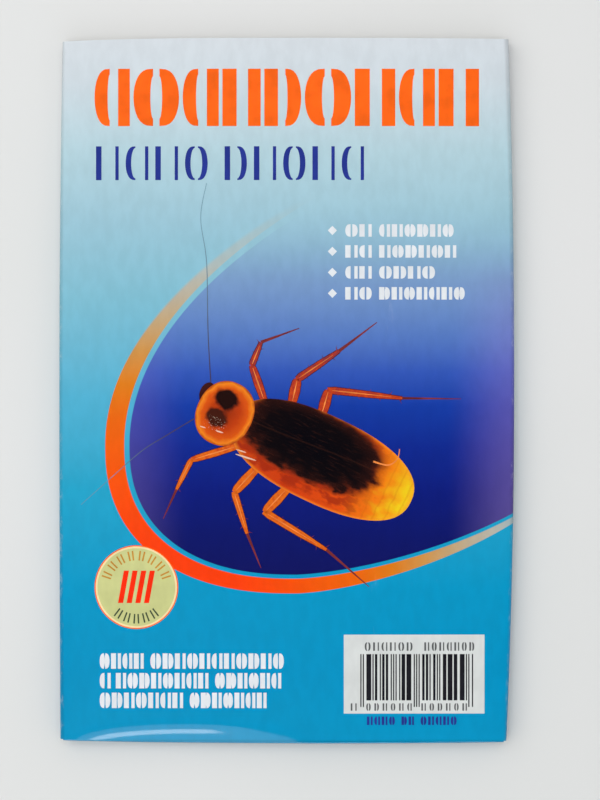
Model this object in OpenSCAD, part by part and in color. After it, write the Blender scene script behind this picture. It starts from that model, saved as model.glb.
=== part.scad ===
// Flat paperboard packet with four folded glue traps inside.
// +X across the packet, +Y towards its open mouth, +Z out of its printed face.

/* [Packet] */
// Width of the packet over its side panels
packet_w = 124; // [110:1:138]
// Length of the packet over its bottom strip
packet_l = 192; // [172:1:212]
// Thickness of the packet's paperboard
card_t = 0.35; // [0.3:0.01:0.4]
// Width of the flap that glues the packet's side seam
seam_w = 14; // [8:1:20]

/* [Bottom closure] */
// Length of the flap folded under the back panel
flap_l = 25; // [15:1:40]
// Corner chamfer of the folded flap
flap_chamfer = 8; // [2:1:12]
// Distance the strip and the flap stop short of the packet's sides
closure_inset = 0.8; // [0.5:0.1:2]

/* [Folded traps] */
// Gap between a folded trap and the packet's sides
side_gap = 2.65; // [1:0.05:8]
// Distance the traps stop short of the packet's mouth
mouth_gap = 5; // [2:0.5:10]
// Distance the traps stop short of the bottom strip
bottom_gap = 2.5; // [1:0.5:6]
// Thickness of a trap's board
board_t = 0.25; // [0.2:0.01:0.28]
// Distance the left roof panel reaches past the trap's middle
left_lap = 6; // [4:1:12]
// Distance the right roof panel reaches past the trap's middle
right_lap = 8; // [4:1:14]
// Length of the locking tab along the trap
tab_l = 70; // [40:1:100]
// Distance the locking tab stands out of the right roof panel
tab_d = 10; // [6:1:14]
// Width of the slot that takes the locking tab
slot_w = 1.2; // [0.8:0.1:2]
// Distance of the slot from the left roof panel's free edge
slot_edge = 16; // [10:1:24]

/* [Glue and liner] */
// Margin of bare board at each side of the glue
glue_side = 10; // [6:1:16]
// Margin of bare board at each end of the glue
glue_end = 8; // [4:1:14]
// Thickness of the glue
glue_t = 0.15; // [0.1:0.01:0.18]
// Thickness of the release liner
liner_t = 0.08; // [0.05:0.01:0.1]
// Distance the release liner reaches past the glue on each side
liner_lap = 3; // [1:0.5:4]
// Diameter of the pull tab at the liner's end
pull_d = 16; // [10:1:20]

/* [Clearances] */
// Gap between the liner and what lies above and below it
liner_gap = 0.03; // [0.02:0.01:0.05]
// Gap between one trap and the next
stack_gap = 0.08; // [0.05:0.01:0.12]
// Gap between the folded flap and the back panel
fold_gap = 0.1; // [0.05:0.01:0.15]
// Gap between the stack of traps and the packet
packet_gap = 0.1; // [0.05:0.01:0.2]

/* [Hidden] */
$fn = 48;
half_w = packet_w / 2;
half_l = packet_l / 2;
// Heights of the packet's layers
back_z = card_t + fold_gap;
cavity_z = back_z + card_t;
stack_z = cavity_z + card_t + packet_gap;
left_roof_z = board_t + glue_t + 2 * liner_gap + liner_t;
right_roof_z = left_roof_z + board_t;
trap_t = right_roof_z + board_t;
trap_pitch = trap_t + stack_gap;
front_z = stack_z + 3 * trap_pitch + trap_t + packet_gap;
packet_t = front_z + card_t;
// Ends of the panels along Y
bottom_y = -half_l + card_t;
closed_y = bottom_y + 0.1;
mouth_y = half_l;
// Size and centre of a folded trap
trap_w = packet_w - 2 * (card_t + side_gap);
trap_l = mouth_y - mouth_gap - (closed_y + bottom_gap);
trap_y = mouth_y - mouth_gap - trap_l / 2;
// Widths of the roof panels from their bends to their free edges
left_roof_w = trap_w / 2 + left_lap;
right_roof_w = trap_w / 2 + right_lap;
// Radii of the two bends, outside
left_bend_r = right_roof_z / 2;
right_bend_r = trap_t / 2;
// Sizes of the glue and of its liner
glue_w = trap_w - 2 * glue_side;
glue_l = trap_l - 2 * glue_end;
liner_w = glue_w + 2 * liner_lap;
liner_l = glue_l + 2 * liner_lap;

paper = [0.93, 0.93, 0.91];
print_blue = [0.10, 0.52, 0.76];
board = [0.90, 0.88, 0.82];
tacky = [0.91, 0.82, 0.47];
waxed = [0.97, 0.95, 0.88];

/* ---------- shared shapes ---------- */

// A sheet lying flat, from one corner
module sheet(x, y, z, size_x, size_y, size_z) {
  translate([x, y, z]) cube([size_x, size_y, size_z]);
}

// Half of a bend in the board, open towards +X, running along Y
module bend(outer_r, length) {
  rotate([90, 0, 0])
    linear_extrude(height = length, center = true)
      difference() {
        circle(r = outer_r);
        circle(r = outer_r - board_t);
        translate([0, -outer_r - 1]) square([outer_r + 1, 2 * outer_r + 2]);
      }
}

// A flat strip with the two far corners cut off
module chamfered_flap(w, l, chamfer, t) {
  linear_extrude(height = t)
    polygon([
      [-w / 2, 0],
      [w / 2, 0],
      [w / 2, l - chamfer],
      [w / 2 - chamfer, l],
      [-w / 2 + chamfer, l],
      [-w / 2, l - chamfer]
    ]);
}

/* ---------- packet ---------- */

module front_panel() {
  color(print_blue)
    sheet(-half_w, bottom_y, front_z, packet_w, mouth_y - bottom_y, card_t);
}

module back_panel() {
  color(paper)
    sheet(-half_w, closed_y, back_z, packet_w, mouth_y - closed_y, card_t);
}

module left_side_panel() {
  color(print_blue)
    sheet(-half_w, closed_y, cavity_z, card_t, mouth_y - closed_y, front_z - cavity_z);
}

module right_side_panel() {
  color(print_blue)
    sheet(half_w - card_t, closed_y, cavity_z, card_t, mouth_y - closed_y, front_z - cavity_z);
}

// The seam flap lies inside the packet, glued to the back panel
module glue_seam_flap() {
  color(paper)
    translate([-half_w + card_t, (closed_y + mouth_y) / 2, cavity_z])
      rotate([0, 0, -90])
        chamfered_flap(mouth_y - closed_y - 4, seam_w, 3, card_t);
}

/* ---------- bottom closure ---------- */

// Hinged on the inner line of the fold at the front panel's bottom edge
module bottom_strip() {
  color(print_blue)
    sheet(-half_w + closure_inset, -half_l, card_t,
          packet_w - 2 * closure_inset, card_t, front_z - card_t);
}

// Hinged on the inner line of the fold at the strip's lower edge
module bottom_flap() {
  color(paper)
    translate([0, bottom_y, 0])
      chamfered_flap(packet_w - 2 * closure_inset, flap_l, flap_chamfer, card_t);
}

/* ---------- one folded trap, its underside at z = 0 ---------- */

module base_board() {
  color(board)
    sheet(-trap_w / 2 + left_bend_r, -trap_l / 2, 0,
          trap_w - left_bend_r - right_bend_r, trap_l, board_t);
}

module glue_bed() {
  color(tacky)
    sheet(-glue_w / 2, -glue_l / 2, board_t, glue_w, glue_l, glue_t);
}

// The liner covers the glue and ends in a round pull tab
module release_liner() {
  color(waxed)
    translate([0, 0, board_t + glue_t + liner_gap])
      linear_extrude(height = liner_t)
        union() {
          square([liner_w, liner_l], center = true);
          translate([0, liner_l / 2 - pull_d / 2 + 4]) circle(d = pull_d);
        }
}

// The left roof panel lies over the liner and has the slot
module roof_left() {
  color(board)
    translate([-trap_w / 2 + left_bend_r, 0, 0])
      difference() {
        union() {
          translate([0, 0, left_bend_r]) bend(left_bend_r, trap_l);
          sheet(0, -trap_l / 2, left_roof_z, left_roof_w - left_bend_r, trap_l, board_t);
        }
        sheet(left_roof_w - left_bend_r - slot_edge, -tab_l / 2 - 1, left_roof_z - 1,
              slot_w, tab_l + 2, board_t + 2);
      }
}

// The right roof panel lies on top of the left one
module roof_right() {
  color(board)
    translate([trap_w / 2 - right_bend_r, 0, 0]) {
      translate([0, 0, right_bend_r]) rotate([0, 0, 180]) bend(right_bend_r, trap_l);
      sheet(-right_roof_w + right_bend_r, -trap_l / 2, right_roof_z,
            right_roof_w - right_bend_r, trap_l, board_t);
    }
}

// The tab carries on from the right roof panel's free edge
module lock_tab() {
  color(board)
    translate([trap_w / 2 - right_roof_w, 0, right_roof_z])
      rotate([0, 0, 90])
        chamfered_flap(tab_l, tab_d, 4, board_t);
}

// Lifts one trap to its place in the stack, counted from the back panel
module in_stack(n) {
  translate([0, trap_y, stack_z + (n - 1) * trap_pitch]) children();
}

front_panel();
back_panel();
left_side_panel();
right_side_panel();
glue_seam_flap();
bottom_strip();
bottom_flap();
in_stack(1) base_board();  // trap_1_base
in_stack(1) glue_bed();  // trap_1_glue
in_stack(1) roof_left();  // trap_1_roof_left
in_stack(1) roof_right();  // trap_1_roof_right
in_stack(1) lock_tab();  // trap_1_lock_tab
in_stack(1) release_liner();  // trap_1_liner
in_stack(2) base_board();  // trap_2_base
in_stack(2) glue_bed();  // trap_2_glue
in_stack(2) roof_left();  // trap_2_roof_left
in_stack(2) roof_right();  // trap_2_roof_right
in_stack(2) lock_tab();  // trap_2_lock_tab
in_stack(2) release_liner();  // trap_2_liner
in_stack(3) base_board();  // trap_3_base
in_stack(3) glue_bed();  // trap_3_glue
in_stack(3) roof_left();  // trap_3_roof_left
in_stack(3) roof_right();  // trap_3_roof_right
in_stack(3) lock_tab();  // trap_3_lock_tab
in_stack(3) release_liner();  // trap_3_liner
in_stack(4) base_board();  // trap_4_base
in_stack(4) glue_bed();  // trap_4_glue
in_stack(4) roof_left();  // trap_4_roof_left
in_stack(4) roof_right();  // trap_4_roof_right
in_stack(4) lock_tab();  // trap_4_lock_tab
in_stack(4) release_liner();  // trap_4_liner
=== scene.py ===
import itertools
import math

import bmesh
import bpy
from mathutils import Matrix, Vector, noise


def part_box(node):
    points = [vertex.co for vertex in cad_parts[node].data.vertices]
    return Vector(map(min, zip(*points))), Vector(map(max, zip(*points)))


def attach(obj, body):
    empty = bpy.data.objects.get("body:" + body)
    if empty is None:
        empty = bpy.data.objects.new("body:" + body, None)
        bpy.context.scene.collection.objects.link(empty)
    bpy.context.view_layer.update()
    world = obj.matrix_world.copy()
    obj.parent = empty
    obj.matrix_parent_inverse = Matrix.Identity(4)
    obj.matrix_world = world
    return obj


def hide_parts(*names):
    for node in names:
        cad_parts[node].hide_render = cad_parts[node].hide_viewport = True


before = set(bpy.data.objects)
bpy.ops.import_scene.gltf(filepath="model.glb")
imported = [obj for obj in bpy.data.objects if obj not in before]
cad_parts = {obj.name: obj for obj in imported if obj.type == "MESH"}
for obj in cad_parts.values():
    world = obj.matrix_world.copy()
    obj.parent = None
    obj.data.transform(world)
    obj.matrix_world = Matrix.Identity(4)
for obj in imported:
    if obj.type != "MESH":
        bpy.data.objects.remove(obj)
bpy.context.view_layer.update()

# Shapes are worked out in millimetres in the packet's frame: x across, y towards the mouth, z up.
MM = 0.001
FRONT_LO, FRONT_HI = (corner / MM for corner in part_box("front_panel"))
BACK_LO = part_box("back_panel")[0] / MM
FLAP_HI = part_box("bottom_flap")[1] / MM
HALF_W = FRONT_HI.x
HALF_L = FRONT_HI.y
FOLD_Y = FRONT_LO.y                # the bottom fold
FRONT_Z = FRONT_HI.z
CARD = FRONT_HI.z - FRONT_LO.z     # thickness of the card
FLAP_T = FLAP_HI.z
END_INSET = HALF_W - FLAP_HI.x     # how far the bottom strip and flap stop short of the sides


# ---------- the packet's shape ----------

LEFT_PULL = (0.3, 0.9)     # how far the left edge is drawn in at the bottom and at the mouth
RIGHT_PULL = (2.15, 1.6)   # the same for the right edge
PILLOW = 0.55          # how far the printed face swells at its middle
ROLL = 0.34            # how far it drops at the side folds
ROLL_LENGTH = 1.5      # how fast that drop fades inwards
FOLD_R = 0.7           # outer radius of the side folds
SAG = 0.42             # how far the back sags past the folded flap
ARC_X = -27.0          # middle of the arc-shaped dent above the bottom fold
ARC_HALF = 31.0        # half of that arc's length
ARC_RISE = 5.0         # its height above the fold
ARC_SLOPE = 0.13       # slope of the dent
ARC_SOFT = 0.9         # how softly that slope begins
ARC_LIP = 0.30         # drop of the steeper lip along its upper edge
LIP_LEFT = -68.0       # where the lip starts on the left
LIP_RIGHT = -3.0       # where it has faded out on the right
LIP_FADE = 20.0        # over what length it fades at both ends
LIP_IN = 1.8           # how far the lip lies inside the arc
LIP_SOFT = 0.68        # how soft the lip is


def smooth(t):
    """Eases from 0 to 1 as t goes from 0 to 1."""
    t = min(max(t, 0.0), 1.0)
    return t * t * (3 - 2 * t)


def spread(low, high, steps):
    """Even steps from low to high, both ends included."""
    return [low + (high - low) * i / steps for i in range(steps + 1)]


def half_width(side, v):
    """Half width on the left (-1) or right (+1) at v, from -1 at the bottom to +1 at the mouth."""
    bottom, mouth = LEFT_PULL if side < 0 else RIGHT_PULL
    if v < 0:
        return HALF_W - bottom * v * v
    return HALF_W - mouth * v ** (2 if side < 0 else 2.2)


def bottom_y(x):
    """The bottom fold's line, which bows up at its corners."""
    u = x / HALF_W
    return FOLD_Y + (0.9 if u < 0 else 0.4) * abs(u) ** 3


def mouth_y(x):
    """The mouth's edge, which bows down at its corners."""
    u = x / HALF_W
    return HALF_L - (1.0 if u < 0 else 0.3) * abs(u) ** 3


def dent(x, y):
    """Depth of the arc-shaped dent that the bottom fold presses into the face."""
    along = (x - ARC_X) / ARC_HALF
    if abs(along) >= 1:
        return 0.0
    inside = FOLD_Y + ARC_RISE * math.sqrt(1 - along * along) - y
    soft = ARC_SOFT * math.log1p(math.exp(min(inside / ARC_SOFT, 60)))
    lip = 1 / (1 + math.exp(min((LIP_IN - inside) / LIP_SOFT, 60)))
    lip *= smooth((x - LIP_LEFT) / LIP_FADE) * smooth((LIP_RIGHT - x) / LIP_FADE)
    return ARC_SLOPE * soft + ARC_LIP * lip


def front_z(x, y):
    """Height of the printed face, a shallow pillow with rolled sides."""
    v = max(-1.0, min(1.0, y / HALF_L))
    side = 1 if x > 0 else -1
    edge = max(0.0, half_width(side, v) - abs(x))
    swell = PILLOW * (1 - min(1.0, abs(x) / HALF_W) ** 2.4) * (1 - 0.55 * v * v)
    uneven = 0.07 * noise.noise(Vector((x * 0.028, y * 0.028, 3.0)))
    return FRONT_Z + swell + uneven - ROLL * math.exp(-edge / ROLL_LENGTH) - dent(x, y)


def front_normal(x, y):
    """Normal of the printed face."""
    step = 0.2
    slope_x = (front_z(x + step, y) - front_z(x - step, y)) / (2 * step)
    slope_y = (front_z(x, y + step) - front_z(x, y - step)) / (2 * step)
    return Vector((-slope_x, -slope_y, 1)).normalized()


def back_z(x, y):
    """Height of the back, which sags to the surface it lies on past the folded flap."""
    return BACK_LO.z - SAG * smooth((y - FLAP_HI.y - 4) / 30)


# ---------- node materials ----------

def ink(red, green, blue):
    """Linear colour of an ink given as screen values from 0 to 255."""
    def linear(value):
        c = value / 255
        return c / 12.92 if c <= 0.04045 else ((c + 0.055) / 1.055) ** 2.4
    return (linear(red), linear(green), linear(blue), 1.0)


def fill_ramp(node, stops):
    """Sets a colour ramp's stops, each a position and a linear colour."""
    elements = node.color_ramp.elements
    while len(elements) < len(stops):
        elements.new(0.5)
    for element, (position, colour) in zip(elements, stops):
        element.position = position
        element.color = colour


class Graph:
    """A material's nodes, with short calls for the ones used here."""

    def __init__(self, name):
        self.material = bpy.data.materials.new(name)
        self.material.use_nodes = True
        self.nodes = self.material.node_tree.nodes
        self.links = self.material.node_tree.links
        self.shader = self.nodes["Principled BSDF"]
        self.place = self.nodes.new("ShaderNodeTexCoord").outputs["Object"]

    def feed(self, socket, value):
        """Links or sets a socket."""
        if isinstance(value, bpy.types.NodeSocket):
            self.links.new(value, socket)
        elif value is not None:
            socket.default_value = value

    def math(self, operation, a, b=None, c=None):
        node = self.nodes.new("ShaderNodeMath")
        node.operation = operation
        for socket, value in zip(node.inputs, (a, b, c)):
            self.feed(socket, value)
        return node.outputs[0]

    def plus(self, a, b):
        return self.math("ADD", a, b)

    def minus(self, a, b):
        return self.math("SUBTRACT", a, b)

    def times(self, a, b):
        return self.math("MULTIPLY", a, b)

    def larger(self, a, b):
        return self.math("MAXIMUM", a, b)

    def span(self, value, low, high, start=0.0, end=1.0, soft=True):
        """Maps value from low..high to start..end, held at both ends."""
        node = self.nodes.new("ShaderNodeMapRange")
        node.interpolation_type = "SMOOTHSTEP" if soft else "LINEAR"
        for socket, number in zip(node.inputs, (value, low, high, start, end)):
            self.feed(socket, number)
        return node.outputs[0]

    def mix(self, factor, a, b, blend="MIX"):
        node = self.nodes.new("ShaderNodeMix")
        node.data_type = "RGBA"
        node.blend_type = blend
        self.feed(node.inputs["Factor"], factor)
        self.feed(node.inputs["A"], a)
        self.feed(node.inputs["B"], b)
        return node.outputs["Result"]

    def ramp(self, factor, stops):
        """Blends inks along factor. Each stop is (position, red, green, blue)."""
        node = self.nodes.new("ShaderNodeValToRGB")
        fill_ramp(node, [(position, ink(*colour)) for position, *colour in stops])
        self.links.new(factor, node.inputs[0])
        return node.outputs[0]

    def noise(self, scale, detail=2.0, stretch=None, roughness=0.5, place=None):
        """Noise over the object's metres or another place, stretched along x, y and z if asked."""
        node = self.nodes.new("ShaderNodeTexNoise")
        node.inputs["Scale"].default_value = scale
        node.inputs["Detail"].default_value = detail
        node.inputs["Roughness"].default_value = roughness
        place = place or self.place
        if stretch:
            mapping = self.nodes.new("ShaderNodeMapping")
            mapping.inputs["Scale"].default_value = stretch
            self.links.new(place, mapping.inputs["Vector"])
            place = mapping.outputs[0]
        self.links.new(place, node.inputs["Vector"])
        return node.outputs["Fac"]

    def grey(self, value):
        """A grey colour from one value."""
        node = self.nodes.new("ShaderNodeCombineColor")
        for socket in node.inputs:
            self.feed(socket, value)
        return node.outputs[0]

    def millimetres(self):
        """x, y and z of the point, in millimetres."""
        split = self.nodes.new("ShaderNodeSeparateXYZ")
        self.links.new(self.place, split.inputs[0])
        return [self.times(output, 1 / MM) for output in split.outputs]

    def bump(self, height, depth_mm, strength=1.0, below=None):
        node = self.nodes.new("ShaderNodeBump")
        node.inputs["Strength"].default_value = strength
        node.inputs["Distance"].default_value = depth_mm * MM
        self.links.new(height, node.inputs["Height"])
        if below is not None:
            self.links.new(below, node.inputs["Normal"])
        return node.outputs[0]

    def set(self, **values):
        for name, value in values.items():
            self.feed(self.shader.inputs[name.replace("_", " ")], value)
        return self.material


def varnish(graph, colour):
    """Finishes printed card: coated stock under a thin gloss varnish."""
    waves = graph.noise(70, 0.0)
    peel = graph.noise(1500, 2.0)
    fibres = graph.noise(420, 3.0, (1.0, 0.45, 1.0))
    normal = graph.bump(waves, 0.10)
    normal = graph.bump(fibres, 0.004, below=normal)
    normal = graph.bump(peel, 0.0015, below=normal)
    tone = graph.span(fibres, 0.25, 0.75, 0.965, 1.035)
    toned = graph.mix(1.0, colour, graph.grey(tone), "MULTIPLY")
    rough = graph.span(graph.noise(260, 3.0), 0.3, 0.7, 0.25, 0.39)
    graph.set(Base_Color=toned, Roughness=rough, Specular_IOR_Level=0.0, Normal=normal)
    graph.set(Coat_Weight=0.75, Coat_Roughness=0.08, Coat_IOR=1.5)
    graph.links.new(graph.bump(waves, 0.08), graph.shader.inputs["Coat Normal"])
    return graph.material


def plain_ink(name, colour, mottle):
    """One flat ink with the slight mottle of an offset print."""
    graph = Graph(name)
    patches = graph.span(graph.noise(160, 4.0), 0.3, 0.7, 1 - mottle, 1 + mottle)
    return varnish(graph, graph.mix(1.0, colour, graph.grey(patches), "MULTIPLY"))


# The egg-shaped picture field and the band round it share one middle. Each edge has its reach
# to the left, right, bottom and top.
FIELD_MIDDLE = (2.2, -14.8)
FIELD_REACH = (45.0, 80.0, 35.2, 80.0)
BAND_INNER = (46.4, 81.0, 36.3, 85.0)
BAND_OUTER = (51.6, 80.0, 40.3, 86.5)
FIELD_LEAN = 0.0075    # how the top of the field leans over to the right, for each mm squared


def oval(graph, x, y, reach):
    """Less than 1 inside the egg, which has no edge at its upper right."""
    left, right, bottom, top = reach
    dy = graph.minus(y, FIELD_MIDDLE[1])
    rise = graph.larger(dy, 0.0)
    lean = graph.times(graph.times(rise, rise), FIELD_LEAN)
    dx = graph.minus(graph.minus(x, FIELD_MIDDLE[0]), lean)
    is_left = graph.math("LESS_THAN", dx, 0.0)
    is_low = graph.math("LESS_THAN", dy, 0.0)
    bounded = graph.larger(is_left, is_low)
    fuller = graph.math("MULTIPLY_ADD", is_low, 0.35, 0.45)
    power = graph.math("MULTIPLY_ADD", is_left, fuller, 1.55)
    across = graph.larger(graph.math("DIVIDE", dx, right), graph.math("DIVIDE", dx, -left))
    along = graph.larger(graph.math("DIVIDE", dy, top), graph.math("DIVIDE", dy, -bottom))
    total = graph.plus(graph.math("POWER", across, power), graph.math("POWER", along, power))
    return graph.times(graph.math("POWER", total, graph.math("DIVIDE", 1.0, power)), bounded)


def face_art(graph):
    """The printed background: a teal to blue blend, an oval night-blue field with a violet sheen
    painted at its right, and an orange band.
    """
    x, y, z = graph.millimetres()
    height = graph.span(y, FOLD_Y, HALF_L, soft=False)
    ground = graph.ramp(height, [
        (0.00, 6, 148, 196),
        (0.10, 0, 146, 196),
        (0.22, 0, 150, 198),
        (0.36, 34, 162, 200),
        (0.49, 80, 175, 208),
        (0.63, 126, 188, 208),
        (0.74, 154, 196, 212),
        (0.84, 178, 208, 218),
        (0.94, 206, 217, 224),
        (1.00, 212, 219, 225),
    ])
    night = graph.ramp(graph.span(y, -52, 50, soft=False), [
        (0.00, 16, 20, 92),
        (0.12, 12, 22, 104),
        (0.24, 10, 27, 122),
        (0.36, 12, 40, 142),
        (0.47, 18, 58, 162),
        (0.56, 50, 86, 182),
        (0.66, 86, 122, 193),
        (0.78, 116, 150, 198),
        (0.90, 134, 168, 200),
        (1.00, 152, 186, 210),
    ])
    # Painted reflection: towards the field's right edge the night blue turns a lighter violet, a sheen
    # of light painted into the colour. The violet at the field's left is print.
    violet = graph.span(x, 43, 66, 0.0, 0.29)
    violet_left = graph.span(x, -26, -46, 0.0, 0.16)
    glow = graph.times(graph.larger(violet, violet_left), graph.span(y, 46, 12))
    night = graph.mix(glow, night, ink(160, 134, 205))
    inside = graph.span(oval(graph, x, y, FIELD_REACH), 0.997, 1.003, 1.0, 0.0)
    field = graph.times(inside, graph.span(y, 52, 28))
    art = graph.mix(field, ground, night)
    past_inner = graph.span(oval(graph, x, y, BAND_INNER), 0.997, 1.003)
    along = graph.larger(graph.span(y, -42, 38, soft=False), graph.span(x, -14, 64, soft=False))
    # The band's outer edge is crisp low down and softer towards its pale upper end.
    soft_from = graph.span(y, 0, 40, 0.998, 0.97)
    within_outer = graph.span(oval(graph, x, y, BAND_OUTER), soft_from, 1.002, 1.0, 0.0)
    band = graph.ramp(along, [
        (0.00, 252, 62, 4),
        (0.18, 248, 78, 3),
        (0.32, 242, 92, 5),
        (0.43, 236, 102, 8),
        (0.55, 222, 124, 24),
        (0.66, 206, 146, 74),
        (0.76, 194, 164, 122),
        (0.85, 186, 176, 156),
        (0.95, 178, 184, 178),
    ])
    strength = graph.times(graph.span(along, 0.88, 1.10, 1.0, 0.40), graph.span(y, 36, 54, 1.0, 0.0))
    shown = graph.times(graph.times(past_inner, within_outer), strength)
    art = graph.mix(shown, art, band)
    # Only the upper side of the sheet has the picture; the back repeats the ground colour.
    front_only = graph.span(z, FRONT_Z - 2.4, FRONT_Z - 1.2)
    return graph.mix(front_only, ground, art), x, y


def printed_card():
    """The printed outside of the packet, with painted shade along its folds and rubbed pale in places.
    """
    graph = Graph("printed_card")
    art, x, y = face_art(graph)
    v = graph.math("DIVIDE", y, HALF_L)
    pull = graph.times(v, v)
    to_left = graph.plus(graph.math("MULTIPLY_ADD", pull, -0.6, HALF_W), x)
    to_right = graph.minus(graph.math("MULTIPLY_ADD", pull, -1.9, HALF_W), x)
    near_fold = graph.span(graph.math("MINIMUM", to_left, to_right), 1.3, 0.3)
    near_end = graph.span(y, HALF_L - 0.7, HALF_L)
    rub = graph.larger(near_fold, near_end)
    broken = graph.span(graph.noise(900, 5.0, (1.0, 0.4, 1.0), 0.7), 0.50, 0.72)
    wear = graph.times(graph.times(rub, broken), 0.22)
    # Painted shade: the print is darkened next to the side folds and the bottom fold, where the card
    # rolls away from the light.
    fold_shade = graph.larger(near_fold, graph.span(y, FOLD_Y + 1.0, FOLD_Y + 0.1))
    painted_fold_shade = graph.grey(graph.math("MULTIPLY_ADD", fold_shade, -0.24, 1.0))
    worn_and_shaded = graph.mix(wear, graph.mix(1.0, art, painted_fold_shade, "MULTIPLY"), ink(226, 228, 228))
    scuffs = graph.span(graph.noise(60, 6.0, (1.0, 0.25, 1.0), 0.75), 0.66, 0.80, 0.0, 0.10)
    return varnish(graph, graph.mix(scuffs, worn_and_shaded, ink(235, 238, 240)))


def bare_card(name, colour, speck):
    """Uncoated board with fibres and specks."""
    graph = Graph(name)
    pulp = graph.noise(240, 5.0, (1.0, 0.35, 1.0), 0.6)
    fine = graph.noise(2600, 2.0, (1.0, 0.3, 1.0))
    specks = graph.span(graph.noise(1900, 1.0), 0.70, 0.76)
    tone = graph.mix(graph.span(pulp, 0.3, 0.7), colour, tuple(c * 0.90 for c in colour[:3]) + (1.0,))
    tone = graph.mix(graph.times(specks, 0.5), tone, speck)
    normal = graph.bump(pulp, 0.03)
    normal = graph.bump(fine, 0.02, below=normal)
    rough = graph.span(fine, 0.3, 0.7, 0.78, 0.92)
    return graph.set(Base_Color=tone, Roughness=rough, Specular_IOR_Level=0.25, Normal=normal)


def trap_board():
    """White folding board with pulp specks, rubbed grey at its long edges."""
    graph = Graph("trap_board")
    x = graph.millimetres()[0]
    pulp = graph.noise(260, 5.0, (1.0, 0.3, 1.0), 0.6)
    fine = graph.noise(2400, 2.0, (1.0, 0.35, 1.0))
    white = graph.mix(graph.span(pulp, 0.3, 0.7), ink(234, 231, 222), ink(226, 223, 212))
    specks = graph.span(graph.noise(1500, 1.0), 0.71, 0.77, 0.0, 0.35)
    tone = graph.mix(specks, white, ink(150, 140, 118))
    edge = graph.span(graph.math("ABSOLUTE", x), HALF_W - 4.4, HALF_W - 3.2)
    tone = graph.mix(graph.times(edge, 0.35), tone, ink(170, 162, 146))
    normal = graph.bump(pulp, 0.03)
    normal = graph.bump(fine, 0.015, below=normal)
    rough = graph.span(fine, 0.3, 0.7, 0.62, 0.80)
    return graph.set(Base_Color=tone, Roughness=rough, Specular_IOR_Level=0.3, Normal=normal)


def tacky_glue():
    """A clear yellowish glue with slow ripples and small bubbles."""
    graph = Graph("tacky_glue")
    ripples = graph.noise(70, 3.0)
    strings = graph.noise(360, 3.0, (0.3, 1.0, 1.0))
    bubbles = graph.span(graph.noise(1300, 0.0), 0.70, 0.78)
    tone = graph.mix(graph.span(ripples, 0.3, 0.7), ink(236, 216, 140), ink(222, 194, 104))
    tone = graph.mix(graph.times(bubbles, 0.5), tone, ink(250, 240, 200))
    normal = graph.bump(ripples, 0.25)
    normal = graph.bump(strings, 0.04, below=normal)
    normal = graph.bump(bubbles, 0.05, below=normal)
    rough = graph.span(strings, 0.3, 0.7, 0.06, 0.2)
    return graph.set(Base_Color=tone, Roughness=rough, Specular_IOR_Level=0.6, Coat_Weight=0.8,
                     Coat_Roughness=0.05, Normal=normal)


def waxed_liner():
    """Silicone-coated paper, slightly cockled."""
    graph = Graph("waxed_liner")
    cockle = graph.noise(45, 3.0, (1.0, 0.5, 1.0))
    fibres = graph.noise(700, 4.0)
    tone = graph.mix(graph.span(fibres, 0.3, 0.7), ink(240, 234, 214), ink(230, 223, 200))
    normal = graph.bump(cockle, 0.4)
    normal = graph.bump(fibres, 0.008, below=normal)
    rough = graph.span(fibres, 0.3, 0.7, 0.30, 0.42)
    return graph.set(Base_Color=tone, Roughness=rough, Specular_IOR_Level=0.5, Coat_Weight=0.3,
                     Coat_Roughness=0.25, Normal=normal)


# ---------- meshes ----------

def add_object(name, data):
    """A new object in the scene."""
    piece = bpy.data.objects.new(name, data)
    bpy.context.scene.collection.objects.link(piece)
    return piece


def smooth_mesh(name, points, faces, materials, indices=None):
    """A smooth-shaded mesh from points in millimetres."""
    mesh = bpy.data.meshes.new(name)
    mesh.from_pydata([Vector(p) * MM for p in points], [], faces)
    for material in materials:
        mesh.materials.append(material)
    if indices:
        mesh.polygons.foreach_set("material_index", indices)
    mesh.polygons.foreach_set("use_smooth", [True] * len(mesh.polygons))
    return mesh


def mesh_object(name, points, faces, materials, indices=None):
    """An object whose faces all look outwards."""
    mesh = smooth_mesh(name, points, faces, materials, indices)
    clean = bmesh.new()
    clean.from_mesh(mesh)
    bmesh.ops.recalc_face_normals(clean, faces=clean.faces)
    clean.to_mesh(mesh)
    clean.free()
    return add_object(name, mesh)


def ring_faces(start, count, shift):
    """Faces that join a ring of count points to the points that come shift further on."""
    pairs = [(start + i, start + (i + 1) % count) for i in range(count)]
    return [(a, b, b + shift, a + shift) for a, b in pairs]


def sharpen(piece, angle=35):
    """Keeps cut edges crisp under smooth shading."""
    piece.data.set_sharp_from_angle(angle=math.radians(angle))


FRONT_STEPS = 96
BACK_STEPS = 40
BEND_STEPS = 6
ROWS = 132


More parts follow.
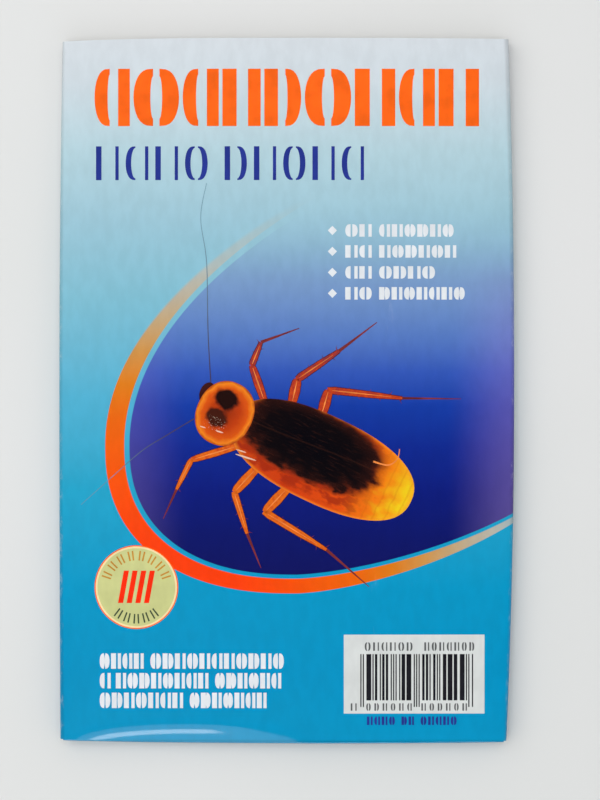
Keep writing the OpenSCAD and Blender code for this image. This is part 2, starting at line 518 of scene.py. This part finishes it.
def sleeve_ring(t):
    """The sleeve's section at t, from 0 at its bottom end to 1 at its mouth, as (x, y, z) points."""
    v = 2 * t - 1
    left, right = half_width(-1, v), half_width(1, v)

    def length_at(x):
        foot = bottom_y(x)
        return foot + t * (mouth_y(x) - foot)

    ring = []
    for i in range(FRONT_STEPS + 1):
        u = math.sin(math.pi / 2 * (2 * i / FRONT_STEPS - 1))
        reach = (right if u > 0 else left) - FOLD_R
        x = u * reach
        ring.append((x, length_at(x), front_z(x, length_at(x))))
    for side, edge in ((1, right), (-1, left)):
        x = side * (edge - FOLD_R)
        y = length_at(x)
        top = front_z(x, y) - FOLD_R
        low = back_z(x, y) + FOLD_R
        bend = []
        for i in range(1, BEND_STEPS + 1):
            turn = math.pi / 2 * i / BEND_STEPS
            bend.append((x + side * FOLD_R * math.sin(turn), y, top + FOLD_R * math.cos(turn)))
        for i in range(1, BEND_STEPS):
            share = i / BEND_STEPS
            bulge = 0.18 * math.sin(math.pi * share)
            bend.append((x + side * (FOLD_R + bulge), y, top + share * (low - top)))
        for i in range(BEND_STEPS):
            turn = math.pi / 2 * i / BEND_STEPS
            bend.append((x + side * FOLD_R * math.cos(turn), y, low - FOLD_R * math.sin(turn)))
        if side > 0:
            ring += bend
            for i in range(BACK_STEPS + 1):
                u = 1 - 2 * i / BACK_STEPS
                reach = (right if u > 0 else left) - FOLD_R
                x_back = u * reach
                ring.append((x_back, length_at(x_back), back_z(x_back, length_at(x_back))))
        else:
            ring += bend[::-1]
    return ring


def inset(ring, depth):
    """The same ring moved inwards by the card's thickness."""
    inner = []
    for i, (x, y, z) in enumerate(ring):
        before, after = ring[i - 1], ring[(i + 1) % len(ring)]
        run = Vector((after[0] - before[0], after[2] - before[2])).normalized()
        inner.append((x + run.y * depth, y, z - run.x * depth))
    return inner


def make_sleeve(outside, inside):
    """The glued sleeve, printed outside and bare inside and at its cut ends."""
    rows = [0.5 - 0.5 * math.cos(math.pi * i / ROWS) for i in range(ROWS + 1)]
    outer = [sleeve_ring(t) for t in rows]
    inner = [inset(ring, CARD) for ring in outer]
    count = len(outer[0])
    points = [p for ring in outer + inner for p in ring]
    faces, indices = [], []
    for layer, material in ((0, 0), (len(outer), 1)):
        for row in range(ROWS):
            faces += ring_faces((layer + row) * count, count, count)
            indices += [material] * count
    for row in (0, ROWS):
        faces += ring_faces(row * count, count, len(outer) * count)
        indices += [1] * count
    sleeve = mesh_object("sleeve", points, faces, [outside, inside], indices)
    sharpen(sleeve)
    return sleeve


def make_strip(outside, inside):
    """The strip across the bottom end, with the two bends that join it to the face and the flap."""
    left = END_INSET - half_width(-1, -1)
    right = half_width(1, -1) - END_INSET
    steps = 72
    bulge = 0.05
    turns = spread(0, math.pi / 2, BEND_STEPS)
    profiles = []
    for x in spread(left, right, steps):
        y = bottom_y(x)
        top = front_z(x, y)
        middle = (top - CARD + FLAP_T) / 2
        profile = [(x, y - CARD * math.sin(a), top - CARD + CARD * math.cos(a)) for a in turns]
        profile.append((x, y - CARD - bulge, middle))
        profile += [(x, y - CARD * math.cos(a), FLAP_T - FLAP_T * math.sin(a)) for a in turns]
        profile += [(x, y, 0.0), (x, y, middle)]
        profiles.append(profile)
    count = len(profiles[0])
    points = [p for profile in profiles for p in profile]
    faces, indices = [], []
    hidden = 4          # faces of each profile that lie inside the fold
    for i in range(steps):
        faces += ring_faces(i * count, count, count)
        indices += [0] * (count - hidden) + [1] * hidden
    faces += [tuple(range(count)), tuple(range(steps * count, (steps + 1) * count))]
    indices += [1, 1]
    strip = mesh_object("bottom_strip_card", points, faces, [outside, inside], indices)
    sharpen(strip, 50)
    return strip


def make_sheet(name, columns, start, end, height, thickness, materials, rows=10):
    """A sheet of card over the given x columns, from start(x) to end(x), lying on height(x, y)."""
    points, faces, indices = [], [], []
    for lift in (0.0, thickness):
        for x in columns:
            for y in spread(start(x), end(x), rows):
                points.append((x, y, height(x, y) + lift))
    width, stride = len(columns) - 1, rows + 1
    size = len(columns) * stride
    for layer in (0, 1):
        for i in range(width):
            for k in range(rows):
                a = layer * size + i * stride + k
                faces.append((a, a + 1, a + stride + 1, a + stride))
                indices.append(layer)
    rim = [i * stride for i in range(width)]
    rim += [width * stride + k for k in range(rows)]
    rim += [i * stride + rows for i in range(width, 0, -1)]
    rim += [rows - k for k in range(rows)]
    for a, b in zip(rim, rim[1:] + rim[:1]):
        faces.append((a, b, b + size, a + size))
        indices.append(1)
    sheet = mesh_object(name, points, faces, materials, indices)
    sharpen(sheet, 50)
    return sheet


def make_flap(outside, inside):
    """The flap folded under the back, with its far corners cut off."""
    chamfer = 8.0
    left = END_INSET - half_width(-1, -1)
    right = half_width(1, -1) - END_INSET

    def far_edge(x):
        return FLAP_HI.y - max(0.0, chamfer - min(x - left, right - x))

    return make_sheet("bottom_flap_card", spread(left, right, 48), bottom_y, far_edge,
                      lambda x, y: 0.0, FLAP_T, [outside, inside])


def make_seam(inside):
    """The glue flap that closes the sleeve, stuck to the inside of the back."""
    low, high = (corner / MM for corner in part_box("glue_seam_flap"))
    return make_sheet("glue_seam_card", spread(low.x + 1.1, high.x, 6), lambda x: bottom_y(x) + 0.6,
                      lambda x: mouth_y(x) - 0.15, lambda x, y: back_z(x, y) + CARD + 0.01, CARD,
                      [inside, inside], rows=48)


# ---------- print laid on the face ----------

INK_LIFT = 0.03        # height of the first layer of ink over the face
INK_STEP = 0.012       # height of each further layer
INK_EDGE = 3.5         # longest edge of an ink mesh, so that it follows the face


class Print:
    """Inked shapes that lie on the printed face, kept in one object."""

    def __init__(self, name):
        self.name = name
        self.points = []
        self.faces = []
        self.indices = []
        self.materials = []

    def add(self, outline, material, level=0):
        """Lays one closed outline of (x, y) points on the face."""
        shape = bmesh.new()
        shape.faces.new([shape.verts.new((x, y, 0)) for x, y in outline])
        bmesh.ops.triangulate(shape, faces=shape.faces)
        for _ in range(5):
            long_edges = [e for e in shape.edges if e.calc_length() > INK_EDGE]
            if not long_edges:
                break
            bmesh.ops.subdivide_edges(shape, edges=long_edges, cuts=1)
            bmesh.ops.triangulate(shape, faces=shape.faces)
        if material not in self.materials:
            self.materials.append(material)
        first = len(self.points)
        shape.verts.index_update()
        lift = INK_LIFT + level * INK_STEP
        for vert in shape.verts:
            self.points.append((vert.co.x, vert.co.y, front_z(vert.co.x, vert.co.y) + lift))
        for face in shape.faces:
            corners = [first + vert.index for vert in face.verts]
            self.faces.append(corners if face.normal.z > 0 else corners[::-1])
            self.indices.append(self.materials.index(material))
        shape.free()

    def finish(self):
        """Makes the object, shaded like the face under it."""
        mesh = smooth_mesh(self.name, self.points, self.faces, self.materials, self.indices)
        mesh.normals_split_custom_set_from_vertices([front_normal(x, y) for x, y, _ in self.points])
        piece = add_object(self.name, mesh)
        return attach(piece, "packet")


def superellipse(x, y, reach_x, reach_y, power=2.0, turn=0.0, steps=40):
    """A closed outline round (x, y), turned by an angle in degrees."""
    c, s = math.cos(math.radians(turn)), math.sin(math.radians(turn))
    outline = []
    for i in range(steps):
        a = 2 * math.pi * i / steps
        px = reach_x * math.copysign(abs(math.cos(a)) ** (2 / power), math.cos(a))
        py = reach_y * math.copysign(abs(math.sin(a)) ** (2 / power), math.sin(a))
        outline.append((x + c * px - s * py, y + s * px + c * py))
    return outline


def box(x0, y0, x1, y1):
    """The outline of an upright rectangle."""
    return [(x0, y0), (x1, y0), (x1, y1), (x0, y1)]


def ribbon(path, widths):
    """A closed outline of a line through path whose width changes along it."""
    left, right = [], []
    for i, (x, y) in enumerate(path):
        before, after = path[max(i - 1, 0)], path[min(i + 1, len(path) - 1)]
        run = Vector((after[0] - before[0], after[1] - before[1])).normalized()
        left.append((x - run.y * widths[i] / 2, y + run.x * widths[i] / 2))
        right.append((x + run.y * widths[i] / 2, y - run.x * widths[i] / 2))
    return left + right[::-1]


def curve_path(points, steps=8):
    """A smooth path through points."""
    path = []
    for i in range(len(points) - 1):
        p0, p1 = points[max(i - 1, 0)], points[i]
        p2, p3 = points[i + 1], points[min(i + 2, len(points) - 1)]
        for k in range(steps):
            t = k / steps
            path.append(tuple(
                0.5 * (2 * b + (c - a) * t + (2 * a - 5 * b + 4 * c - d) * t * t
                       + (3 * b - a - 3 * c + d) * t ** 3)
                for a, b, c, d in zip(p0, p1, p2, p3)
            ))
    path.append(points[-1])
    return path


def crescent(x_edge, x_mid, y0, y1, thick, thin):
    """A stroke that bulges from x_mid to x_edge, thick at its middle and thin at its ends."""
    middle, half = (y0 + y1) / 2, (y1 - y0) / 2
    reach = x_edge - x_mid
    hollow = reach - math.copysign(thick, reach)
    turns = spread(0, math.pi, 16)
    outer = [(x_mid + reach * math.sin(a) ** 0.7, middle + half * math.cos(a)) for a in turns]
    inner = [(x_mid + hollow * math.sin(a), middle + (half - thin) * math.cos(a)) for a in turns]
    return outer + inner[::-1]


# Strokes of the stand-in letters: a bow to the left or to the right, or an upright bar.
STROKES = ("()", "||", "(|", "||", "()", "|)", "||")


def stand_in_letter(code, x0, x1, y0, y1, heavy, light):
    """Two strokes that fill a letter's box and spell nothing."""
    middle = (x0 + x1) / 2
    gap = 0.07 * (x1 - x0)
    shapes = []
    if code[0] == "(":
        shapes.append(crescent(x0, middle - gap, y0, y1, heavy, light * 0.5))
    else:
        shapes.append(box(x0, y0, x0 + heavy, y1))
    if code[1] == ")":
        shapes.append(crescent(x1, middle + gap, y0, y1, heavy, light * 0.5))
    else:
        shapes.append(box(x1 - light, y0, x1, y1))
    return shapes


def greek_row(target, material, x, y, height, words, heavy, light, spacing, shift=0, level=0):
    """A row of stand-in words, each (letters, width, gap after it), that stands on y."""
    codes = itertools.islice(itertools.cycle(STROKES), shift, None)
    for letters, width, gap in words:
        pitch = (width + spacing) / letters
        for i in range(letters):
            x0 = x + i * pitch
            x1 = x0 + pitch - spacing
            for outline in stand_in_letter(next(codes), x0, x1, y, y + height, heavy, light):
                target.add(outline, material, level)
        x += width + gap


def print_title(inks):
    """The heavy title, its stand-in letters of uneven width."""
    title = Print("print_title")
    widths = (9.6, 12.4, 9.8, 10.4, 10.0, 12.6, 11.0, 9.8, 11.0)
    codes = ("(|", "()", "(|", "||", "|)", "()", "||", "(|", "||")
    foot, top = 72.0, 87.6
    x = -52.3
    for width, code in zip(widths, codes):
        for outline in stand_in_letter(code, x, x + width, foot, top, 0.37 * width, 0.33 * width):
            title.add(outline, inks["orange"])
        x += width + 1.0
    title.finish()


def print_subtitle(inks):
    """One row of tall thin stand-in letters."""
    subtitle = Print("print_subtitle")
    greek_row(subtitle, inks["navy"], -51.9, 57.3, 9.2, [(4, 30.4, 4.6), (5, 37.9, 0)],
              heavy=1.5, light=0.9, spacing=1.9, shift=1)
    subtitle.finish()


def print_bullets(inks):
    """Four short rows, each with a diamond in front."""
    bullets = Print("print_bullets")
    x, reach, row_pitch = 12.4, 1.25, 5.7
    for row, (letters, width) in enumerate(((6, 20.3), (6, 21.0), (4, 15.2), (7, 23.3))):
        y = 43.6 - row_pitch * row
        bullets.add([(x - reach, y), (x, y - reach), (x + reach, y), (x, y + reach)], inks["white"])
        greek_row(bullets, inks["white"], 15.9, y - 1.7, 3.4, [(2, 7.2, 2.0), (letters, width, 0)],
                  heavy=1.45, light=0.9, spacing=0.45, shift=row)
    bullets.finish()


def print_slogan(inks):
    """Three rows of heavy stand-in letters."""
    slogan = Print("print_slogan")
    row_pitch = 5.35
    rows = (
        [(4, 12.0, 1.8), (11, 36.3, 0)],
        [(1, 3.0, 1.4), (8, 25.2, 1.8), (6, 18.0, 0)],
        [(7, 22.7, 1.8), (7, 20.9, 0)],
    )
    for row, words in enumerate(rows):
        greek_row(slogan, inks["white"], -50.9, -75.6 - row_pitch * row, 4.2, words,
                  heavy=1.35, light=0.85, spacing=0.4, shift=2 * row)
    slogan.finish()


def print_roundel(inks):
    """A badge with a tally of four strokes between two arcs of small marks."""
    roundel = Print("print_roundel")
    x, y = -40.9, -53.4
    for level, (radius, material) in enumerate(((11.4, "orange"), (11.1, "cream"), (10.6, "lime"))):
        roundel.add(superellipse(x, y, radius, radius, steps=72), inks[material], level)
    half_stroke, lean, pitch = 0.7, 1.6, 2.35
    for stroke in range(4):
        foot = x - 4.3 + pitch * stroke
        head = foot + lean
        roundel.add([(foot - half_stroke, y - 4.3), (foot + half_stroke, y - 4.3),
                     (head + half_stroke, y + 4.5), (head - half_stroke, y + 4.5)], inks["red"], 3)
    marks_radius, half_mark, thickness = 8.6, 1.3, 0.42
    for start, end, marks, material in ((158, 22, 8, "ochre"), (236, 304, 5, "olive")):
        for angle in spread(start, end, marks - 1):
            for offset in (-3.6, 3.6):
                a = math.radians(angle + offset)
                ray = Vector((math.cos(a), math.sin(a)))
                path = [Vector((x, y)) + ray * (marks_radius + side * half_mark) for side in (-1, 1)]
                roundel.add(ribbon(path, (thickness, thickness)), inks[material], 3)
    roundel.finish()


def print_barcode(inks):
    """A white box of generic bars that hold no code, between two rows of small marks."""
    code = Print("print_barcode")
    code.add(box(15.5, -87.8, 53.8, -66.3), inks["label"])
    greek_row(code, inks["grey"], 21.2, -70.7, 2.3, [(6, 13.0, 3.2), (7, 13.6, 0)],
              heavy=0.5, light=0.35, spacing=0.7, level=1)
    module = 0.33
    start, middle, end = 20.0, 35.2, 50.4
    foot, guard_foot, top = -84.2, -86.0, -71.6
    x, i = start, 0
    while x < end:
        guard = min(x - start, abs(x - middle), end - x) < 1.1
        wide = module * (1 if guard else (1, 2, 1, 3, 1, 2, 4)[(i * 3 + i // 5) % 7])
        code.add(box(x, guard_foot if guard else foot, x + wide, top), inks["black"], 1)
        x += wide + module * (1, 2, 1, 3)[(i * 5 + i // 3) % 4]
        i += 1
    greek_row(code, inks["grey"], 17.4, -87.0, 2.0, [(1, 1.6, 2.6), (6, 12.4, 2.6), (6, 12.4, 0)],
              heavy=0.45, light=0.35, spacing=1.0, shift=3, level=1)
    greek_row(code, inks["navy"], 21.8, -90.9, 2.3, [(4, 7.6, 1.8), (2, 3.4, 1.8), (5, 9.8, 0)],
              heavy=0.7, light=0.5, spacing=0.45, shift=1)
    code.finish()


# ---------- the picture of a cockroach ----------

ROACH_AT = Vector((-16.9, -5.8))       # middle of the neck shield
ROACH_TURN = math.radians(-25.5)       # direction from head to tail


def on_roach(along, across):
    """A point of the picture from its place along and across the insect."""
    c, s = math.cos(ROACH_TURN), math.sin(ROACH_TURN)
    return (ROACH_AT.x + c * along - s * across, ROACH_AT.y + s * along + c * across)


def roach_oval(along, across, reach_along, reach_across, power=2.0, turn=0.0, steps=40):
    """An oval that lies along the insect, turned from it by an angle in degrees."""
    x, y = on_roach(along, across)
    return superellipse(x, y, reach_along, reach_across, power, math.degrees(ROACH_TURN) + turn, steps)


def roach_leg(picture, inks, joints, widths, spines):
    """A leg through its joints: a stout thigh, a spiny shin and a thin foot."""
    thigh, knee, heel, tip = (Vector(p) for p in joints)
    thigh_width, shin_width, foot_width = widths

    def limb(points, thicknesses, shade, level):
        picture.add(ribbon(points, thicknesses), inks[shade], level)

    run = (heel - knee).normalized()
    out = Vector((-run.y, run.x))
    for i in range(spines):
        root = knee.lerp(heel, (i + 0.7) / spines)
        side = 1 if i % 2 else -1
        point = root + out * side * (shin_width * 0.5 + 0.7) + run * 0.9
        picture.add([root - run * 0.25, root + run * 0.25, point], inks["roach_foot"], 1)
    for extra, shade, level in ((0.35, "roach_line", 1), (0.0, "roach_leg", 2)):
        upper, lower, end = thigh_width + extra, shin_width + extra, foot_width + extra
        limb([thigh, thigh.lerp(knee, 0.5), knee.lerp(thigh, 0.12), knee],
             (upper * 0.8, upper, upper * 0.85, lower * 0.8), shade, level)
        limb([knee.lerp(heel, -0.02), knee.lerp(heel, 0.08), knee.lerp(heel, 0.6), heel],
             (lower * 0.7, lower, lower * 0.85, end), shade, level)
    limb([heel, heel.lerp(tip, 0.5), tip],
         (foot_width, foot_width * 0.6, foot_width * 0.25), "roach_foot", 1)
    limb([thigh.lerp(knee, t) for t in (0.1, 0.5, 0.92)], (0.1, 0.4, 0.1), "roach_shine", 3)
    limb([knee.lerp(heel, t) for t in (0.05, 0.3, 0.85)], (0.1, 0.34, 0.08), "roach_shine", 3)


def print_roach(inks):
    """The insect: feelers, six legs, amber body with dark folded wings, and a spotted neck shield."""
    picture = Print("print_insect")
    feelers = (
        [(-20.6, 1.6), (-21.4, 16.0), (-21.8, 35.0), (-23.4, 47.0), (-21.8, 56.5)],
        [(-25.2, -7.6), (-32.5, -12.0), (-39.5, -16.4), (-47.5, -23.4), (-56.0, -31.0)],
    )
    for points in feelers:
        path = curve_path(points)
        picture.add(ribbon(path, spread(0.30, 0.12, len(path) - 1)), inks["feeler"], 0)
    legs = (
        ([(-6.0, -3.0), (-9.5, 7.0), (-7.0, 13.2), (3.4, 17.0)], (2.2, 1.7, 0.9), 4),
        ([(1.4, -3.4), (2.9, 3.2), (14.2, 10.8), (24.5, 18.6)], (2.8, 2.0, 0.9), 6),
        ([(9.4, -6.8), (11.4, 0.2), (31.4, -2.0), (47.4, -2.2)], (2.9, 1.9, 0.7), 7),
        ([(-12.6, -14.8), (-26.0, -18.8), (-30.0, -26.8), (-33.6, -34.8)], (2.0, 1.5, 0.7), 4),
        ([(-8.2, -21.0), (-14.3, -27.6), (-10.8, -38.8), (-7.0, -48.2)], (2.7, 1.8, 0.8), 6),
        ([(0.4, -26.2), (-6.0, -33.0), (10.8, -43.2), (22.4, -53.3)], (2.9, 2.0, 0.8), 8),
    )
    for joints, widths, spines in legs:
        roach_leg(picture, inks, joints, widths, spines)
    tail = curve_path([(23.5, -19.2), (27.5, -20.2), (30.0, -18.6), (30.7, -15.8)])
    picture.add(ribbon(tail, spread(0.5, 0.2, len(tail) - 1)), inks["roach_shine"], 6)
    picture.add(roach_oval(29.6, -0.2, 26.6, 12.0, 2.35, steps=72), inks["roach_body"], 4)
    picture.add(roach_oval(-6.2, 2.4, 2.3, 3.3, turn=12), inks["roach_line"], 4)
    picture.add(roach_oval(0.2, -0.3, 7.7, 8.9, 2.2, steps=56), inks["roach_shield"], 5)
    glints = ((1.0, -5.4, 1.1, 0.2), (-3.6, -6.2, 0.8, 0.16),
              (10.5, -8.6, 3.0, 0.24), (8.6, -7.6, 1.5, 0.18))
    for along, across, reach, thick in glints:
        picture.add(roach_oval(along, across, reach, thick, turn=8, steps=16), inks["roach_glint"], 6)
    picture.finish()


def roach_place(graph):
    """The point's place along and across the insect, in millimetres."""
    x, y, _ = graph.millimetres()
    dx = graph.minus(x, ROACH_AT.x)
    dy = graph.minus(y, ROACH_AT.y)
    c, s = math.cos(ROACH_TURN), math.sin(ROACH_TURN)
    along = graph.plus(graph.times(dx, c), graph.times(dy, s))
    across = graph.minus(graph.times(dy, c), graph.times(dx, s))
    return along, across


def soft_oval(graph, place, middle, reach, power=2.0):
    """0 at the middle of an oval and 1 on its edge."""
    terms = []
    for value, at, size in zip(place, middle, reach):
        offset = graph.math("ABSOLUTE", graph.math("DIVIDE", graph.minus(value, at), size))
        terms.append(graph.math("POWER", offset, power))
    return graph.math("POWER", graph.plus(*terms), 1 / power)


def streaks(graph, place, scale, stretch, detail=2.0):
    """Noise drawn out along the insect."""
    join = graph.nodes.new("ShaderNodeCombineXYZ")
    graph.feed(join.inputs[0], graph.times(place[0], stretch))
    graph.feed(join.inputs[1], place[1])
    return graph.noise(scale, detail, place=join.outputs[0])


def roach_body():
    """Amber abdomen that turns yellow at the tail, under dark wings with a ragged red-brown edge."""
    graph = Graph("ink_roach_body")
    place = roach_place(graph)
    mottle = streaks(graph, place, 0.42, 0.55, 3.0)
    fine = streaks(graph, place, 2.2, 0.12, 3.0)
    ragged = graph.span(place[1], -2, 6, 0.16, 0.05)
    wander = graph.times(graph.span(mottle, 0.2, 0.8, -1.0, 1.0, soft=False), ragged)
    amber = graph.ramp(graph.plus(graph.span(place[0], 4, 58, soft=False), graph.times(wander, 0.5)), [
        (0.0, 200, 70, 14),
        (0.35, 206, 60, 12),
        (0.64, 226, 80, 12),
        (0.80, 242, 128, 14),
        (0.95, 242, 206, 24),
    ])
    crown = graph.span(graph.math("ABSOLUTE", place[1]), 11.9, 9.4, 0.0, 1.0)
    patch = graph.times(graph.span(mottle, 0.42, 0.60, 0.0, 0.85), graph.span(place[0], 50, 38))
    amber = graph.mix(graph.times(patch, crown), amber, ink(158, 40, 14))
    rim = soft_oval(graph, place, (29.6, -0.2), (26.6, 12.0), 2.35)
    amber = graph.mix(graph.span(rim, 0.93, 1.0, 0.0, 0.55), amber, ink(250, 150, 40))
    folds = graph.math("SINE", graph.math("MULTIPLY_ADD", place[0], 2.1, graph.times(wander, 5.0)))
    tail = graph.times(graph.span(folds, 0.75, 1.0), graph.span(place[0], 40, 46, 0.0, 0.22))
    amber = graph.mix(tail, amber, ink(206, 92, 10))
    wing = graph.plus(soft_oval(graph, place, (25.2, 2.3), (20.8, 9.9), 2.7), wander)
    dark = graph.ramp(graph.plus(graph.span(wing, 0.2, 1.1, soft=False), graph.times(wander, 0.4)), [
        (0.0, 8, 6, 12),
        (0.50, 14, 8, 12),
        (0.72, 40, 16, 14),
        (0.88, 92, 32, 14),
        (1.0, 150, 50, 14),
    ])
    dark = graph.mix(graph.span(fine, 0.54, 0.74, 0.0, 0.16), dark, ink(96, 46, 28))
    parting = graph.math("ABSOLUTE", graph.minus(place[1], graph.span(place[0], 5, 45, 1.0, 3.2)))
    dark = graph.mix(graph.span(parting, 0.3, 0.08, 0.0, 0.08), dark, ink(120, 62, 34))
    colour = graph.mix(graph.span(wing, 1.08, 0.88), amber, dark)
    return varnish(graph, colour)


def roach_shield():
    """The neck shield: orange with a paler rim and two soft dark spots."""
    graph = Graph("ink_roach_shield")
    place = roach_place(graph)
    mottle = streaks(graph, place, 0.40, 1.0)
    wander = graph.span(mottle, 0.2, 0.8, -0.24, 0.24, soft=False)
    rim = graph.plus(soft_oval(graph, place, (0.2, -0.3), (7.7, 8.9), 2.2), graph.times(wander, 0.2))
    colour = graph.ramp(rim, [
        (0.0, 138, 42, 12),
        (0.5, 188, 60, 12),
        (0.78, 216, 84, 14),
        (0.92, 238, 132, 28),
        (1.0, 176, 70, 20),
    ])
    spots = (((-1.1, 3.3), (3.4, 2.9), ink(34, 14, 12)), ((-1.3, -2.2), (3.2, 2.5), ink(66, 26, 16)))
    for middle, reach, dark in spots:
        spot = graph.plus(soft_oval(graph, place, middle, reach), wander)
        colour = graph.mix(graph.span(spot, 1.15, 0.75), colour, dark)
    sparkle = graph.span(streaks(graph, place, 2.6, 1.0), 0.60, 0.69, 0.0, 0.55)
    near = graph.span(soft_oval(graph, place, (-1.0, -3.8), (3.6, 2.2)), 1.1, 0.6)
    colour = graph.mix(graph.times(sparkle, near), colour, ink(236, 210, 190))
    return varnish(graph, colour)


def feeler_ink():
    """A brown that pales towards the tips of the feelers."""
    graph = Graph("ink_feeler")
    x, y, _ = graph.millimetres()
    tip = graph.larger(graph.span(y, 4, 46), graph.span(x, -30, -54))
    return varnish(graph, graph.mix(tip, ink(72, 64, 88), ink(112, 146, 166)))


def roach_leg_ink():
    """Leg colour: amber on the near side, turning red and then violet on the far side."""
    graph = Graph("ink_roach_leg")
    y = graph.millimetres()[1]
    patches = graph.noise(620, 4.0, None, 0.65)
    far = graph.plus(graph.span(y, -22, 14, soft=False), graph.span(patches, 0.3, 0.7, -0.25, 0.25))
    return varnish(graph, graph.ramp(far, [
        (0.0, 224, 104, 24),
        (0.35, 202, 72, 24),
        (0.70, 176, 54, 34),
        (1.0, 142, 52, 58),
    ]))


# The flat inks: red, green, blue and how strongly they mottle.
FLAT_INKS = {
    "orange": (255, 102, 20, 0.10),
    "navy": (40, 54, 142, 0.10),
    "white": (226, 231, 236, 0.03),
    "label": (215, 219, 218, 0.03),
    "grey": (92, 94, 96, 0.10),
    "black": (30, 30, 36, 0.20),
    "cream": (246, 222, 168, 0.05),
    "lime": (203, 206, 140, 0.05),
    "red": (250, 44, 8, 0.08),
    "ochre": (196, 140, 50, 0.10),
    "olive": (70, 84, 62, 0.10),
    "roach_line": (58, 22, 22, 0.30),
    "roach_foot": (120, 46, 48, 0.30),
    "roach_glint": (238, 196, 168, 0.15),
    "roach_shine": (236, 136, 66, 0.25),
}


def print_inks():
    """Every ink of the face, by name."""
    inks = {name: plain_ink(f"ink_{name}", ink(*colour), mottle)
            for name, (*colour, mottle) in FLAT_INKS.items()}
    inks["feeler"] = feeler_ink()
    inks["roach_body"] = roach_body()
    inks["roach_shield"] = roach_shield()
    inks["roach_leg"] = roach_leg_ink()
    return inks


# ---------- the room ----------

def make_floor():
    """A plain pale table top."""
    graph = Graph("floor")
    cloud = graph.span(graph.noise(5, 3.0), 0.3, 0.7)
    tone = graph.mix(cloud, ink(225, 226, 226), ink(221, 223, 222))
    graph.set(Base_Color=tone, Roughness=0.6, Specular_IOR_Level=0.2)
    half = 1500.0
    corners = [(x, y, 0) for x, y in box(-half, -half, half, half)]
    floor = mesh_object("floor", corners, [(0, 1, 2, 3)], [graph.material])


def area_light(name, place, aim, size, power, colour=(1, 1, 1), dull=False, gloss_only=False):
    """A soft panel, which may be kept out of the varnish's shine or shown only there."""
    light = bpy.data.lights.new(name, "AREA")
    light.shape = "RECTANGLE"
    light.size, light.size_y = size
    light.energy = power
    light.color = colour
    lamp = add_object(name, light)
    lamp.location = place
    lamp.rotation_euler = (Vector(aim) - Vector(place)).to_track_quat("-Z", "Y").to_euler()
    lamp.visible_glossy = not dull
    lamp.visible_diffuse = not gloss_only


def make_world():
    """Soft studio light, dimmer overhead than round the sides."""
    world = bpy.data.worlds.new("studio")
    bpy.context.scene.world = world
    world.use_nodes = True
    nodes, links = world.node_tree.nodes, world.node_tree.links
    split = nodes.new("ShaderNodeSeparateXYZ")
    links.new(nodes.new("ShaderNodeTexCoord").outputs["Generated"], split.inputs[0])
    ramp = nodes.new("ShaderNodeValToRGB")
    stops = ((0.0, 0.56), (0.50, 0.68), (0.70, 0.68), (0.86, 0.22), (0.94, 0.06), (1.0, 0.04))
    fill_ramp(ramp, [(position, (level, level, level * 1.01, 1)) for position, level in stops])
    links.new(split.outputs["Z"], ramp.inputs[0])
    links.new(ramp.outputs[0], nodes["Background"].inputs["Color"])


def make_camera():
    """Looks straight down, with the packet a little left of and above the middle."""
    lens, sensor, view_height = 85.0, 36.0, 0.2177
    data = bpy.data.cameras.new("camera")
    data.lens = lens
    data.sensor_width = sensor
    camera = add_object("camera", data)
    camera.location = (3.6 * MM, -2.5 * MM, FRONT_Z * MM + view_height * lens / sensor)
    bpy.context.scene.camera = camera


# ---------- putting it together ----------

def dress_packet():
    """The sleeve, the folded bottom end and the seam flap."""
    outside = printed_card()
    inside = bare_card("card_inside", ink(206, 203, 196), ink(120, 118, 110))
    sleeve = make_sleeve(outside, inside)
    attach(sleeve, "packet")
    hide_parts("front_panel", "back_panel", "left_side_panel", "right_side_panel")
    strip = make_strip(outside, inside)
    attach(strip, "strip")
    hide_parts("bottom_strip")
    flap = make_flap(outside, inside)
    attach(flap, "flap")
    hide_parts("bottom_flap")
    seam = make_seam(inside)
    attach(seam, "packet")
    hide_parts("glue_seam_flap")


def give_material(node, material):
    """Puts one material on a CAD node that keeps its shape."""
    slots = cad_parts[node].data.materials
    slots.clear()
    slots.append(material)


def dress_traps():
    """Board, glue and liner for the four traps."""
    board, glue, liner = trap_board(), tacky_glue(), waxed_liner()
    for number in (1, 2, 3, 4):
        for part in ("base", "roof_left", "roof_right", "lock_tab"):
            give_material(f"trap_{number}_{part}", board)
        give_material(f"trap_{number}_glue", glue)
        give_material(f"trap_{number}_liner", liner)


def dress_face():
    """Everything printed on the face."""
    inks = print_inks()
    print_title(inks)
    print_subtitle(inks)
    print_bullets(inks)
    print_slogan(inks)
    print_roundel(inks)
    print_barcode(inks)
    print_roach(inks)


dress_packet()
dress_traps()
dress_face()
make_floor()
make_world()
area_light("key", (-0.50, 0.12, 1.00), (0, 0, 0), (1.2, 1.2), 5.2, (1.0, 0.99, 0.97), dull=True)
area_light("overhead", (-0.04, 0.12, 1.20), (0, 0, 0), (0.9, 0.9), 5.4, dull=True)
area_light("fold", (-0.05, -0.57, 0.62), (-0.02, -0.09, 0), (0.5, 0.12), 1.5, gloss_only=True)
area_light("fold_glow", (-0.05, -0.43, 0.62), (-0.02, -0.09, 0), (0.5, 0.18), 0.4, gloss_only=True)
make_camera()
bpy.context.scene.view_settings.view_transform = "Standard"
